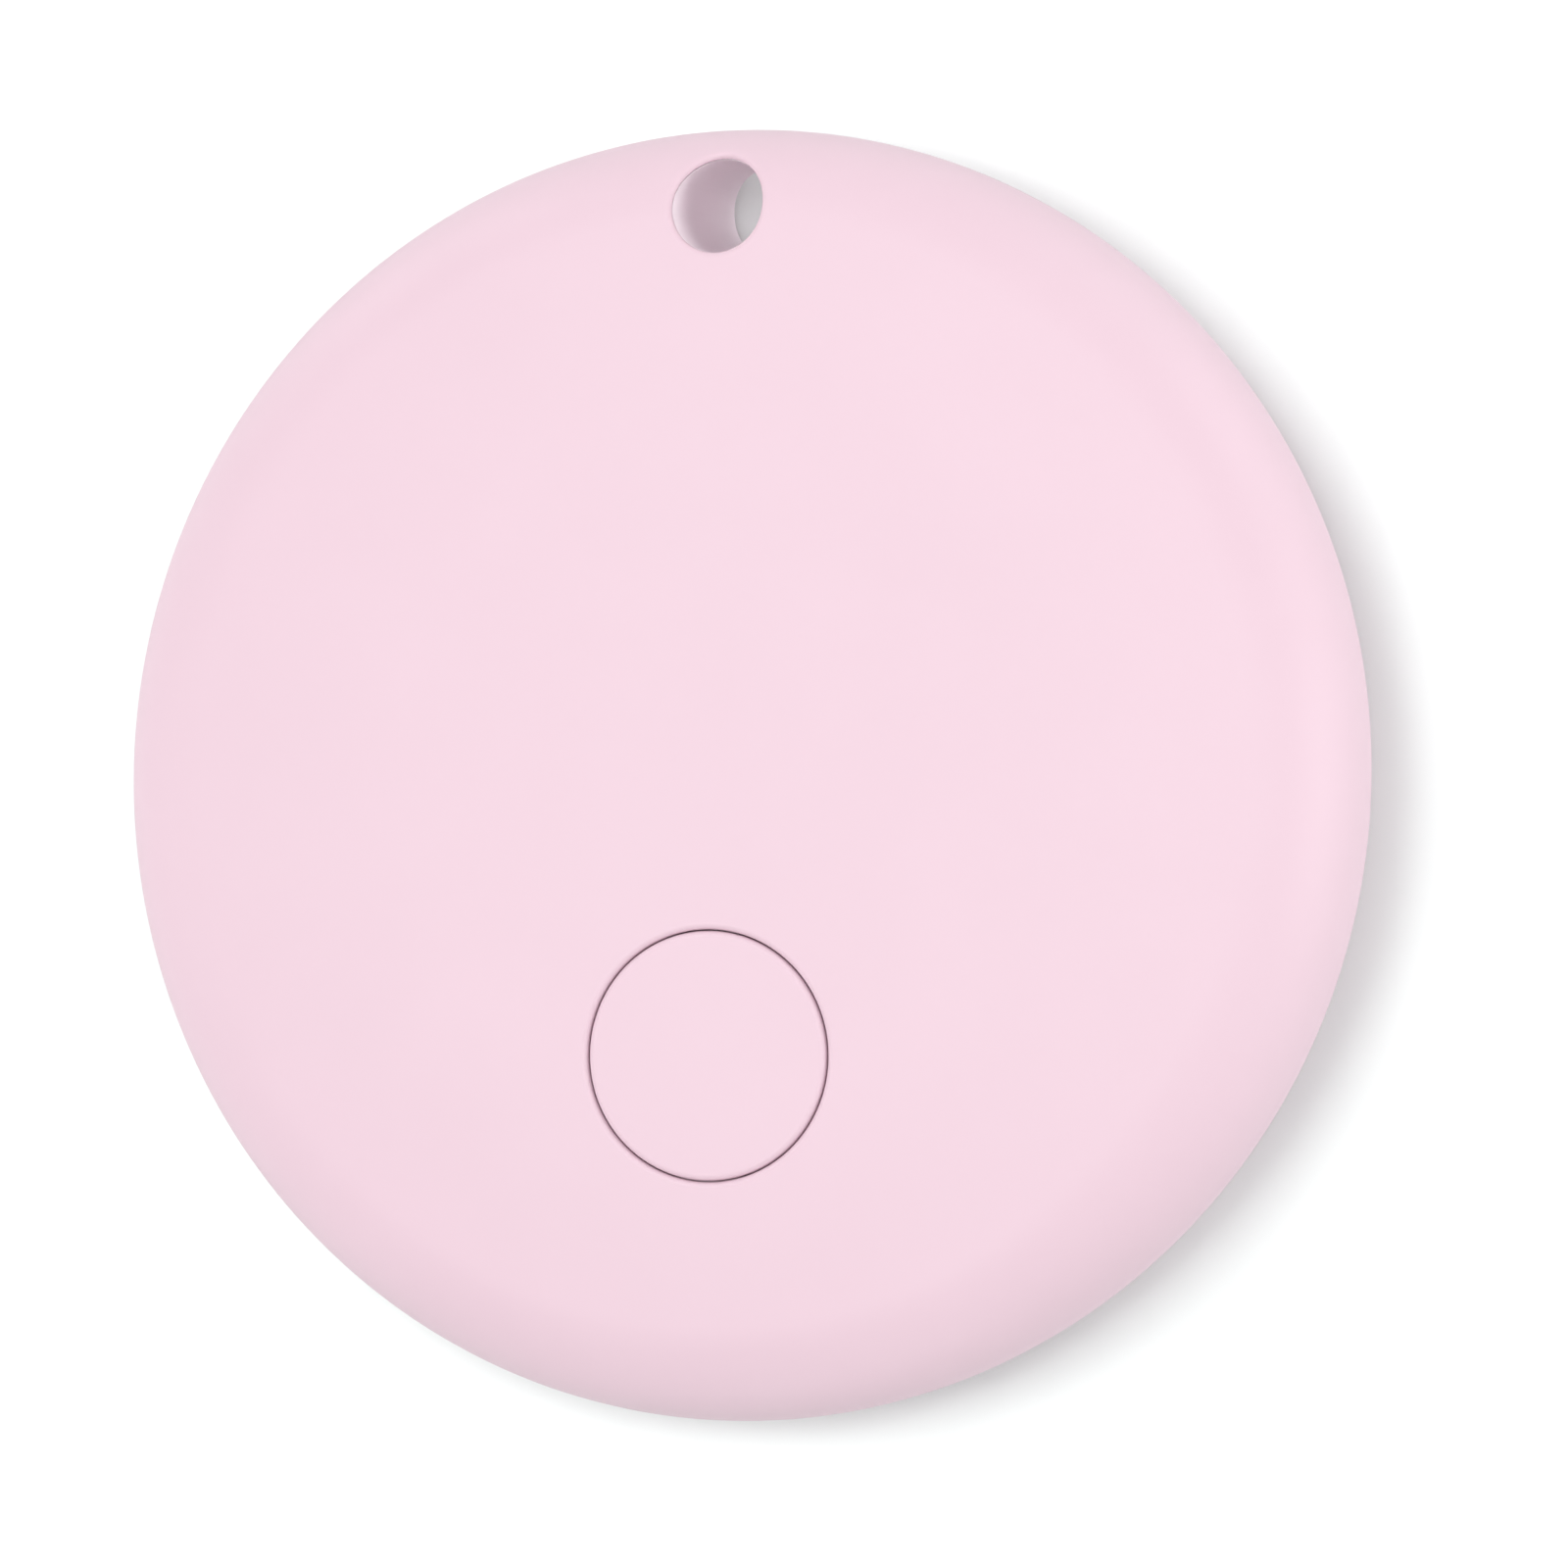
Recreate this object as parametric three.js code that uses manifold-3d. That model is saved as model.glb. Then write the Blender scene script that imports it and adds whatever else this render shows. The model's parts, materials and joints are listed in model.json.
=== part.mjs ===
// A round key-ring tracker tag: a pink two-shell case with a strap hole, a round push button, a coin-turned
// battery door, and the board, sounder, coin cell, contacts and switch that it holds inside.
// Millimetres. +Z points out of the front face, +Y runs to the strap hole, and the back lies on z = 0.
import * as THREE from 'three';
import { mergeVertices } from 'three/addons/utils/BufferGeometryUtils.js';
import Module from 'manifold-3d';

const wasm = await Module();
wasm.setup();

// ---- Driving dimensions ------------------------------------------------------------------------------

// The case is a disc with a flat back, a fully rounded edge and a gently domed front. A shoulder, an arc whose
// centre lies off the axis, leads from the dome down into the edge.
const CASE = { radius: 19, edgeRadius: 3.4, domeRadius: 300, seamZ: 2, seamGap: 0.02 };
const SHOULDER = { radius: 60, centre: 8, edgeRadius: 3.13 };
// The space inside the case, and the tongue of the rear cover that stands inside the front cover's wall.
const CAVITY = { floorZ: 1.2, roofZ: 6.1, wallRadius: 17.6, cornerRadius: 2.4 };
const TONGUE = { inner: 16.75, outer: 17.5, topZ: 3.2, hollow: 2.6 };
const STRAP_HOLE = { y: 16.59, radius: 1.4, bossRadius: 2.4 };
// A sleeve lines the strap hole. Its ends stop short of both faces, behind a thin lip on each cover.
const SLEEVE = { radius: 1.84, seatRadius: 1.87, lip: 0.2, seatLip: 0.17 };
const BUTTON = { y: -8.345, holeRadius: 3.72, capRadius: 3.62, recessRadius: 4.45, recessTopZ: 6.5 };
const CAP = { flangeRadius: 4.3, flangeZ: [6.1, 6.45], stemRadius: 0.85, stemZ: 6.02 };
// The battery door is centred a little away from the strap hole, as are the coin cell and its frame.
const CELL_Y = -0.8;
const DOOR_SEAT = { flangeRadius: 13.75, ledgeRadius: 12.4, ledgeZ: 0.8, collarRadius: 14.2, collarZ: 1.75 };
const DOOR = { plateZ: [0.15, 0.95], flangeRadius: 13.6, flangeTopZ: 0.75, wall: [10.6, 12.2], wallTopZ: 2.35 };
const SEAL = { grooveRadius: 11.6, grooveZ: [0.88, 1.62], centreRadius: 11.97, centreZ: 1.25, section: 0.34 };
const LUG = { count: 3, radius: 13.25, z: [1.85, 2.35], degrees: 24, turn: 40 };
const NOTCH = { radius: 13.4, degrees: 32 };
const COIN_SLOT = { length: 14, width: 1.9, depth: 0.45 };
const CELL = { radius: 10, rimRadius: 9.6, capRadius: 8.6, z: [1.05, 4.25], capStep: 0.22, bevel: 0.3 };
const FRAME = { inner: 10.4, outer: 11.1, z: [2.6, 4.7], windowWidth: 4.8, armWidth: 2.2, earRadius: 1.6 };
const BOARD = { radius: 15.8, z: [4.75, 5.35], strapNotch: 2.7, postHole: 1.45 };
// Screws hold the battery frame up to posts that stand down from the front cover through the board.
const SCREW = { ring: 13.4, angles: [60, 180, 300], head: 1.15, shank: 0.6, headZ: [2.5, 2.97], tipZ: 5.3 };
const POST = { radius: 1.3, footZ: 3.65, shoulderRadius: 1.9, shoulderZ: 5.4, pilot: 0.65, pilotTopZ: 5.75 };
const EAR = { z: [3, 3.6], hole: 0.75 };
const SOUNDER = { y: 3.6, plateRadius: 6.4, plateZ: [5.88, 5.98], ceramicRadius: 4.4, ceramicZ: [5.76, 5.86] };
const ADHESIVE = { radii: [5.3, 6.2], z: [6, 6.08] };
const SWITCH = { size: [3.2, 3], z: [5.37, 5.77], well: 1.25, wellZ: 5.42 };
const PLATE = { z: [5.78, 5.84], hole: 1.1 };
const PLUNGER = { radius: 0.9, flangeRadius: 1.05, z: [5.67, 5.99], flangeTopZ: 5.73 };
const SNAP_DOME = { radius: 1.15, z: 5.43, rise: 0.15, sheet: 0.05 };
// Sheet-metal contacts, and the small gap kept between faces that touch.
const SHEET = 0.12;
const TOUCH = 0.02;
const LEAF = { width: 3, rootX: -8, bendX: -5.4, restX: 1.2, tipX: 2.2, tipRise: 0.2 };
const CLIP = { width: 4, foot: 3, lowZ: 2.75, cellGap: 0.08 };
const SPRING = { width: 0.8, path: [-0.9, 0, 0.5, 1.2], innerX: -0.5, outerX: 4.9 };
const CROSS = { long: 1.3, wide: 0.28, deep: 0.25 };
// Tools that cut right through a wall run past it by this much, and pieces that join run this far into it.
const PAST = 1;
const BITE = 0.1;

// Sides used to facet round shapes, from the case down to a screw.
const SIDES = { case: 64, door: 48, mid: 32, small: 16 };
const ARC_STEPS = { edge: 6, shoulder: 3, corner: 4, seal: 8 };

const COLOURS = {
  pink: { color: 0xf7d9e5, roughness: 0.55, metalness: 0 },
  silicone: { color: 0x3a3a3d, roughness: 0.8, metalness: 0 },
  steel: { color: 0xc9cbcd, roughness: 0.3, metalness: 1 },
  frame: { color: 0xe9e7e2, roughness: 0.6, metalness: 0 },
  board: { color: 0x1f5a3c, roughness: 0.5, metalness: 0 },
  brass: { color: 0xc9a75a, roughness: 0.35, metalness: 1 },
  ceramic: { color: 0xe8e4d8, roughness: 0.7, metalness: 0 },
  foam: { color: 0xf2f2ee, roughness: 0.9, metalness: 0 },
  black: { color: 0x202124, roughness: 0.6, metalness: 0 },
  tan: { color: 0xb59a7a, roughness: 0.6, metalness: 0 },
  gold: { color: 0xd8b765, roughness: 0.3, metalness: 1 },
};

// ---- Solids: three.js shapes, joined and cut -----------------------------------------------------------

function solidOf(geometry) {
  geometry.deleteAttribute('normal');
  geometry.deleteAttribute('uv');
  const merged = mergeVertices(geometry);
  const corners = merged.index.array;
  const kept = [];
  for (let i = 0; i < corners.length; i += 3) {
    const [a, b, c] = [corners[i], corners[i + 1], corners[i + 2]];
    if (a !== b && b !== c && c !== a) kept.push(a, b, c);
  }
  const vertProperties = new Float32Array(merged.attributes.position.array);
  const triVerts = new Uint32Array(kept);
  return new wasm.Manifold(new wasm.Mesh({ numProp: 3, vertProperties, triVerts }));
}

function geometryOf(solid) {
  const mesh = solid.getMesh();
  const geometry = new THREE.BufferGeometry();
  geometry.setAttribute('position', new THREE.BufferAttribute(mesh.vertProperties, 3));
  geometry.setIndex(new THREE.BufferAttribute(mesh.triVerts, 1));
  return geometry;
}

// A profile of [radius, height] points, counter-clockwise, turned about an upright axis at (x, y).
function turned(profile, sides, [x, y] = [0, 0]) {
  const points = profile.map(([radius, height]) => new THREE.Vector2(radius, height));
  return solidOf(new THREE.LatheGeometry(points, sides).rotateX(Math.PI / 2).translate(x, y, 0));
}

function disc(radius, [low, high], sides, [x, y] = [0, 0]) {
  const shape = new THREE.CylinderGeometry(radius, radius, high - low, sides);
  return solidOf(shape.rotateX(Math.PI / 2).translate(x, y, (low + high) / 2));
}

function ring([inner, outer], [low, high], sides, centre) {
  return turned([[inner, low], [outer, low], [outer, high], [inner, high], [inner, low]], sides, centre);
}

function block([width, length], [low, high], [x, y], degrees = 0) {
  const shape = new THREE.BoxGeometry(width, length, high - low);
  shape.rotateZ(THREE.MathUtils.degToRad(degrees));
  return solidOf(shape.translate(x, y, (low + high) / 2));
}

// A bar with round ends, lying along X.
function roundEnded(length, width, [low, high], [x, y]) {
  const [half, radius] = [(length - width) / 2, width / 2];
  const shape = new THREE.Shape();
  shape.absarc(half, 0, radius, -Math.PI / 2, Math.PI / 2);
  shape.absarc(-half, 0, radius, Math.PI / 2, (3 * Math.PI) / 2);
  const options = { depth: high - low, bevelEnabled: false, curveSegments: SIDES.small / 2 };
  return solidOf(new THREE.ExtrudeGeometry(shape, options).translate(x, y, low));
}

// A piece of a ring that spans the given degrees, centred on an angle.
function ringSector([inner, outer], [low, high], span, middle, [x, y]) {
  const [from, to] = [middle - span / 2, middle + span / 2].map(THREE.MathUtils.degToRad);
  const shape = new THREE.Shape();
  shape.absarc(0, 0, outer, from, to);
  shape.absarc(0, 0, inner, to, from, true);
  const options = { depth: high - low, bevelEnabled: false, curveSegments: ARC_STEPS.corner };
  return solidOf(new THREE.ExtrudeGeometry(shape, options).translate(x, y, low));
}

// A bent metal strip: [x, z] points along its lower face, swept across its width in Y.
function bentStrip(path, width, [x, y]) {
  const upper = path.map(([along, height]) => [along, height + SHEET]).reverse();
  const outline = [...path, ...upper].map(([along, height]) => new THREE.Vector2(along, height));
  const options = { depth: width, bevelEnabled: false };
  const shape = new THREE.ExtrudeGeometry(new THREE.Shape(outline), options);
  return solidOf(shape.rotateX(Math.PI / 2).translate(x, y + width / 2, 0));
}

function arc([x, y], radius, from, to, steps) {
  const points = [];
  for (let i = 0; i <= steps; i += 1) {
    const angle = THREE.MathUtils.degToRad(from + ((to - from) * i) / steps);
    points.push([x + radius * Math.cos(angle), y + radius * Math.sin(angle)]);
  }
  return points;
}

const onRing = (radius, degrees) => {
  const angle = THREE.MathUtils.degToRad(degrees);
  return [radius * Math.cos(angle), radius * Math.sin(angle)];
};
const screwPlaces = SCREW.angles.map((degrees) => onRing(SCREW.ring, degrees));
const raised = (solids) => solids.reduce((whole, piece) => whole.add(piece));

// ---- Case ------------------------------------------------------------------------------------------------

// The whole outside: flat back, rounded edge, shoulder and dome, each arc meeting the next on a common tangent.
// An inset gives the same body with every face that far inside.
function caseBody(inset = 0) {
  const equator = CASE.edgeRadius;
  const backCentre = [CASE.radius - CASE.edgeRadius, equator];
  const frontCentre = [CASE.radius - SHOULDER.edgeRadius, equator];
  const [toEdge, toDome] = [SHOULDER.radius - SHOULDER.edgeRadius, CASE.domeRadius - SHOULDER.radius];
  const edgeTurn = Math.acos((frontCentre[0] - SHOULDER.centre) / toEdge);
  const domeTurn = Math.acos(SHOULDER.centre / toDome);
  const shoulderCentre = [SHOULDER.centre, equator - toEdge * Math.sin(edgeTurn)];
  const domeCentre = [0, shoulderCentre[1] - toDome * Math.sin(domeTurn)];
  const [edgeEnd, shoulderEnd] = [edgeTurn, domeTurn].map(THREE.MathUtils.radToDeg);
  const backEdge = arc(backCentre, CASE.edgeRadius - inset, -90, 0, ARC_STEPS.edge);
  const frontEdge = arc(frontCentre, SHOULDER.edgeRadius - inset, 0, edgeEnd, ARC_STEPS.edge).slice(1);
  const shoulder = arc(shoulderCentre, SHOULDER.radius - inset, edgeEnd, shoulderEnd, ARC_STEPS.shoulder).slice(1);
  const apex = [0, domeCentre[1] + CASE.domeRadius - inset];
  return turned([[0, inset], ...backEdge, ...frontEdge, ...shoulder, apex], SIDES.case);
}

const slab = (low, high) => disc(2 * CASE.radius, [low, high], SIDES.small);
const wholeCase = caseBody();

function cavity(bottom) {
  const { roofZ, wallRadius, cornerRadius } = CAVITY;
  const corner = arc([wallRadius - cornerRadius, roofZ - cornerRadius], cornerRadius, 0, 90, ARC_STEPS.corner);
  return turned([[0, bottom], [wallRadius, bottom], ...corner, [0, roofZ]], SIDES.case);
}

function strapBore() {
  return disc(STRAP_HOLE.radius, [-PAST, 2 * CASE.edgeRadius + PAST], SIDES.mid, [0, STRAP_HOLE.y]);
}

function sleeveBlank(radius, lip) {
  return disc(radius, [0, 2 * CASE.edgeRadius], SIDES.mid, [0, STRAP_HOLE.y]).intersect(caseBody(lip));
}

const sleeveSeat = sleeveBlank(SLEEVE.seatRadius, SLEEVE.seatLip);

function strapHoleSleeve() {
  return sleeveBlank(SLEEVE.radius, SLEEVE.lip).subtract(strapBore());
}

function strapBoss(low, high) {
  return disc(STRAP_HOLE.bossRadius, [low, high], SIDES.mid, [0, STRAP_HOLE.y]).intersect(wholeCase);
}

function post(place) {
  const foot = disc(POST.radius, [POST.footZ, CAVITY.roofZ], SIDES.small, place);
  const shoulder = disc(POST.shoulderRadius, [POST.shoulderZ, CAVITY.roofZ + BITE], SIDES.small, place);
  return foot.add(shoulder).intersect(wholeCase);
}

function frontCover() {
  const bottom = CASE.seamZ + CASE.seamGap;
  const roof = CAVITY.roofZ;
  const button = [0, BUTTON.y];
  return wholeCase
    .subtract(slab(-PAST, bottom))
    .subtract(cavity(bottom - PAST))
    .add(strapBoss(bottom, roof + BITE))
    .add(raised(screwPlaces.map(post)))
    .subtract(raised(screwPlaces.map((place) => disc(POST.pilot, [0, POST.pilotTopZ], SIDES.small, place))))
    .subtract(disc(BUTTON.holeRadius, [roof - PAST, 2 * roof], SIDES.mid, button))
    .subtract(disc(BUTTON.recessRadius, [roof - PAST, BUTTON.recessTopZ], SIDES.mid, button))
    .subtract(sleeveSeat)
    .subtract(strapBore());
}

function rearCover() {
  const top = CASE.seamZ - CASE.seamGap;
  const door = [0, CELL_Y];
  const strap = [0, STRAP_HOLE.y];
  const tongue = ring([TONGUE.inner, TONGUE.outer], [CAVITY.floorZ, TONGUE.topZ], SIDES.case)
    .subtract(disc(TONGUE.hollow, [top, 2 * TONGUE.topZ], SIDES.mid, strap));
  const collar = disc(DOOR_SEAT.collarRadius, [CAVITY.floorZ / 2, DOOR_SEAT.collarZ], SIDES.door, door);
  const shell = wholeCase
    .subtract(slab(top, 2 * CAVITY.roofZ))
    .subtract(disc(TONGUE.inner, [CAVITY.floorZ, 2 * top], SIDES.case))
    .add(tongue)
    .add(collar)
    .add(strapBoss(0, top));
  const notches = lugAngles().map((degrees) => ringSector(
    [DOOR_SEAT.ledgeRadius - PAST, NOTCH.radius], [0, DOOR_SEAT.collarZ + PAST],
    NOTCH.degrees, degrees + LUG.turn, door,
  ));
  return shell
    .subtract(disc(DOOR_SEAT.flangeRadius, [-PAST, DOOR_SEAT.ledgeZ], SIDES.door, door))
    .subtract(disc(DOOR_SEAT.ledgeRadius, [-PAST, 2 * DOOR_SEAT.collarZ], SIDES.door, door))
    .subtract(raised(notches))
    .subtract(sleeveSeat)
    .subtract(strapBore());
}

// The cap fills the button hole flush with the dome, and a flange below keeps it in.
function buttonCap() {
  const centre = [0, BUTTON.y];
  const flange = disc(CAP.flangeRadius, CAP.flangeZ, SIDES.mid, centre);
  const stem = disc(CAP.stemRadius, [CAP.stemZ, CAP.flangeZ[1]], SIDES.small, centre);
  const face = disc(BUTTON.capRadius, [CAP.flangeZ[0], 2 * CAVITY.roofZ], SIDES.mid, centre);
  return face.intersect(wholeCase).add(flange).add(stem);
}

// ---- Battery door ----------------------------------------------------------------------------------------

function lugAngles() {
  return Array.from({ length: LUG.count }, (_, index) => 90 + (index * 360) / LUG.count);
}

function batteryDoor() {
  const centre = [0, CELL_Y];
  const [low, floor] = DOOR.plateZ;
  const [inner, outer] = DOOR.wall;
  const shell = turned([
    [0, low], [DOOR.flangeRadius, low], [DOOR.flangeRadius, DOOR.flangeTopZ], [outer, DOOR.flangeTopZ],
    [outer, SEAL.grooveZ[0]], [SEAL.grooveRadius, SEAL.grooveZ[0]],
    [SEAL.grooveRadius, SEAL.grooveZ[1]], [outer, SEAL.grooveZ[1]],
    [outer, DOOR.wallTopZ], [inner, DOOR.wallTopZ], [inner, floor], [0, floor],
  ], SIDES.door, centre);
  const lugRadii = [outer - BITE, LUG.radius];
  const lugs = lugAngles().map((degrees) => ringSector(lugRadii, LUG.z, LUG.degrees, degrees, centre));
  const slot = roundEnded(COIN_SLOT.length, COIN_SLOT.width, [low - PAST, low + COIN_SLOT.depth], centre);
  return shell.add(raised(lugs)).subtract(slot);
}

function doorSealRing() {
  const section = arc([SEAL.centreRadius, SEAL.centreZ], SEAL.section, 0, 360, ARC_STEPS.seal);
  return turned(section, SIDES.door, [0, CELL_Y]);
}

// ---- Coin cell, its frame and its contacts -------------------------------------------------------------

function coinCell() {
  const [low, high] = CELL.z;
  const shoulder = high - CELL.capStep;
  return turned([
    [0, low], [CELL.radius - CELL.bevel, low], [CELL.radius, low + CELL.bevel],
    [CELL.radius, shoulder - CELL.bevel], [CELL.rimRadius, shoulder], [CELL.capRadius, shoulder],
    [CELL.capRadius, high], [0, high],
  ], SIDES.mid, [0, CELL_Y]);
}

function batteryFrame() {
  const centre = [0, CELL_Y];
  const wall = ring([FRAME.inner, FRAME.outer], FRAME.z, SIDES.door, centre);
  const pocket = disc(FRAME.inner, FRAME.z, SIDES.door, centre);
  const window = block([FRAME.outer, FRAME.windowWidth], [0, 2 * FRAME.z[1]], [FRAME.outer, CELL_Y]);
  const arms = screwPlaces.map(([x, y], index) => (
    block([SCREW.ring, FRAME.armWidth], EAR.z, [x / 2, y / 2], SCREW.angles[index])
  ));
  const ears = screwPlaces.map((place) => disc(FRAME.earRadius, EAR.z, SIDES.small, place));
  const holes = screwPlaces.map((place) => disc(EAR.hole, [0, 2 * EAR.z[1]], SIDES.small, place));
  return raised([...arms, ...ears])
    .subtract(pocket)
    .add(wall)
    .subtract(window)
    .subtract(raised(holes));
}

function frameScrew(place) {
  const [low, high] = SCREW.headZ;
  return turned([
    [0, low], [SCREW.head, low], [SCREW.head, high], [SCREW.shank, high],
    [SCREW.shank, SCREW.tipZ - SCREW.shank], [0, SCREW.tipZ],
  ], SIDES.small, place).subtract(crossRecess(place, low));
}

function crossRecess(place, low) {
  const depth = [low - PAST, low + CROSS.deep];
  return block([CROSS.long, CROSS.wide], depth, place).add(block([CROSS.wide, CROSS.long], depth, place));
}

const boardUnderside = BOARD.z[0] - TOUCH - SHEET;
const cellTop = CELL.z[1] + TOUCH;

// A leaf soldered under the board that springs down onto the middle of the cell.
function negativeContact() {
  const { width, rootX, bendX, restX, tipX, tipRise } = LEAF;
  const root = [[rootX, boardUnderside], [bendX, boardUnderside]];
  const spring = [[-restX, cellTop], [restX, cellTop], [tipX, cellTop + tipRise]];
  return bentStrip([...root, ...spring], width, [0, CELL_Y]);
}

// A clip that drops from the board and bears on the side of the cell.
function positiveContact() {
  const { width, foot, lowZ, cellGap } = CLIP;
  const wall = CELL.radius + cellGap;
  const top = boardUnderside + SHEET;
  const blade = block([SHEET, width], [lowZ, top], [wall + SHEET / 2, CELL_Y]);
  return block([foot, width], [boardUnderside, top], [wall + foot / 2, CELL_Y]).add(blade);
}

// ---- Board and what is on it ------------------------------------------------------------------------------

function circuitBoard() {
  const through = [0, 2 * BOARD.z[1]];
  const holes = screwPlaces.map((place) => disc(BOARD.postHole, through, SIDES.small, place));
  return disc(BOARD.radius, BOARD.z, SIDES.door)
    .subtract(disc(BOARD.strapNotch, through, SIDES.mid, [0, STRAP_HOLE.y]))
    .subtract(raised(holes));
}

// name, colour, [width, length, height], [x, y], turn in degrees
const CHIPS = [
  ['bluetooth_chip', 'black', [4, 4, 0.48], [-9.6, 5.6], 0],
  ['chip_antenna', 'ceramic', [5.2, 1.6, 0.5], [12.2, 4.6], 110],
  ['main_crystal', 'steel', [2, 1.6, 0.4], [-9, 1.9], 0],
  ['clock_crystal', 'steel', [3.2, 1.5, 0.45], [-9.2, -4.4], 90],
  ['boost_inductor', 'black', [2.5, 2, 0.5], [9.6, -3.4], 0],
  ['matching_inductor', 'ceramic', [1, 0.5, 0.4], [10.6, 8.6], 45],
  ['capacitor_1', 'tan', [1.6, 0.8, 0.5], [-5.8, 10.6], 0],
  ['capacitor_2', 'tan', [1.6, 0.8, 0.5], [-11.4, -3.4], 90],
  ['capacitor_3', 'tan', [1.6, 0.8, 0.5], [9.2, -0.4], 0],
  ['resistor_1', 'black', [1, 0.5, 0.35], [7.8, -6.2], 0],
  ['resistor_2', 'black', [1, 0.5, 0.35], [-6.6, -9.8], 90],
];
function chip([width, length, height], place, degrees) {
  const low = BOARD.z[1] + TOUCH;
  return block([width, length], [low, low + height], place, degrees);
}

// ---- Sounder -----------------------------------------------------------------------------------------------

const sounderCentre = [0, SOUNDER.y];

// A small bent spring from the board up to the sounder, at x.
function sounderSpring(x, contactZ) {
  const foot = BOARD.z[1] + TOUCH;
  const head = contactZ - TOUCH - SHEET;
  const heights = [foot, foot, head, head];
  return bentStrip(SPRING.path.map((along, index) => [along, heights[index]]), SPRING.width, [x, SOUNDER.y]);
}

// ---- Switch under the button -------------------------------------------------------------------------------

const switchCentre = [0, BUTTON.y];

function switchBody() {
  const well = disc(SWITCH.well, [SWITCH.wellZ, 2 * SWITCH.z[1]], SIDES.small, switchCentre);
  return block(SWITCH.size, SWITCH.z, switchCentre).subtract(well);
}

function switchPlate() {
  const hole = disc(PLATE.hole, [0, 2 * PLATE.z[1]], SIDES.small, switchCentre);
  return block(SWITCH.size, PLATE.z, switchCentre).subtract(hole);
}

function switchPlunger() {
  const [low, high] = PLUNGER.z;
  const flange = disc(PLUNGER.flangeRadius, [low, PLUNGER.flangeTopZ], SIDES.small, switchCentre);
  return disc(PLUNGER.radius, [low, high], SIDES.small, switchCentre).add(flange);
}

function snapDome() {
  const { radius, z, rise, sheet } = SNAP_DOME;
  const crown = radius / 2;
  return turned([
    [0, z + rise], [crown, z + rise], [radius, z], [radius, z + sheet], [crown, z + rise + sheet],
    [0, z + rise + sheet],
  ], SIDES.small, switchCentre);
}

// ---- Assembly ----------------------------------------------------------------------------------------------

const assembly = new THREE.Group();

function place(name, colour, solid) {
  const mesh = new THREE.Mesh(geometryOf(solid), new THREE.MeshStandardMaterial(COLOURS[colour]));
  mesh.name = name;
  assembly.add(mesh);
}

place('front_cover', 'pink', frontCover());
place('rear_cover', 'pink', rearCover());
place('strap_hole_sleeve', 'pink', strapHoleSleeve());
place('button_cap', 'pink', buttonCap());
place('battery_door', 'pink', batteryDoor());
place('door_seal_ring', 'silicone', doorSealRing());
place('coin_cell', 'steel', coinCell());
place('battery_frame', 'frame', batteryFrame());
screwPlaces.forEach((at, index) => place(`frame_screw_${index + 1}`, 'steel', frameScrew(at)));
place('negative_contact', 'gold', negativeContact());
place('positive_contact', 'gold', positiveContact());
place('circuit_board', 'board', circuitBoard());
CHIPS.forEach(([name, colour, size, at, degrees]) => place(name, colour, chip(size, at, degrees)));
place('sounder_adhesive_ring', 'foam', ring(ADHESIVE.radii, ADHESIVE.z, SIDES.mid, sounderCentre));
place('sounder_plate', 'brass', disc(SOUNDER.plateRadius, SOUNDER.plateZ, SIDES.mid, sounderCentre));
place('sounder_ceramic', 'ceramic', disc(SOUNDER.ceramicRadius, SOUNDER.ceramicZ, SIDES.mid, sounderCentre));
place('sounder_spring_inner', 'gold', sounderSpring(SPRING.innerX, SOUNDER.ceramicZ[0]));
place('sounder_spring_outer', 'gold', sounderSpring(SPRING.outerX, SOUNDER.plateZ[0]));
place('switch_body', 'black', switchBody());
place('switch_dome', 'steel', snapDome());
place('switch_plunger', 'frame', switchPlunger());
place('switch_plate', 'steel', switchPlate());

export default assembly;
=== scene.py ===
import json
import math

import bmesh
import bpy
import numpy as np
from mathutils import Matrix, Vector
from mathutils.geometry import delaunay_2d_cdt
from mathutils.kdtree import KDTree


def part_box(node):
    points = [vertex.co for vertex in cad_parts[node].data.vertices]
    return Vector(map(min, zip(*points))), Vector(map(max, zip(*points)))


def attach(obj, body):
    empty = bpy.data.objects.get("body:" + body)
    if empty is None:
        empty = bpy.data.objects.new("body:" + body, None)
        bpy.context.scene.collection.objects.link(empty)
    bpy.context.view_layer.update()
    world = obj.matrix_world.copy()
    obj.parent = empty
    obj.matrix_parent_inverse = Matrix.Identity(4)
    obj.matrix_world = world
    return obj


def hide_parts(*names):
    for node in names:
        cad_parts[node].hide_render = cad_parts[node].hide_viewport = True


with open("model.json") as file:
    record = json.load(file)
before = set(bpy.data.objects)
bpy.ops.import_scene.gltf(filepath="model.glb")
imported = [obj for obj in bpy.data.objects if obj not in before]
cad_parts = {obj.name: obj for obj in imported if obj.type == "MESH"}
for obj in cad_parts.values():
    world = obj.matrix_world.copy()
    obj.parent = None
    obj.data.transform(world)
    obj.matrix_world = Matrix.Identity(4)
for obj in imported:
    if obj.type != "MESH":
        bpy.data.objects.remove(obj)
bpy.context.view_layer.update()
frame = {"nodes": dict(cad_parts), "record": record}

# Shapes are worked out in millimetres, and turned into metres where each mesh is made.
MM = 0.001
TURN = 2 * math.pi


def box_mm(node):
    low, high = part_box(node)
    return np.array(low) / MM, np.array(high) / MM


def middle(node):
    low, high = box_mm(node)
    return (low[:2] + high[:2]) / 2


# ---- Sizes ------------------------------------------------------------------------------------------

FRONT_LOW, FRONT_HIGH = box_mm("front_cover")
SLEEVE_LOW, SLEEVE_HIGH = box_mm("strap_hole_sleeve")
CAP_LOW, CAP_HIGH = box_mm("button_cap")
DOOR_LOW, DOOR_HIGH = box_mm("battery_door")

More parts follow.
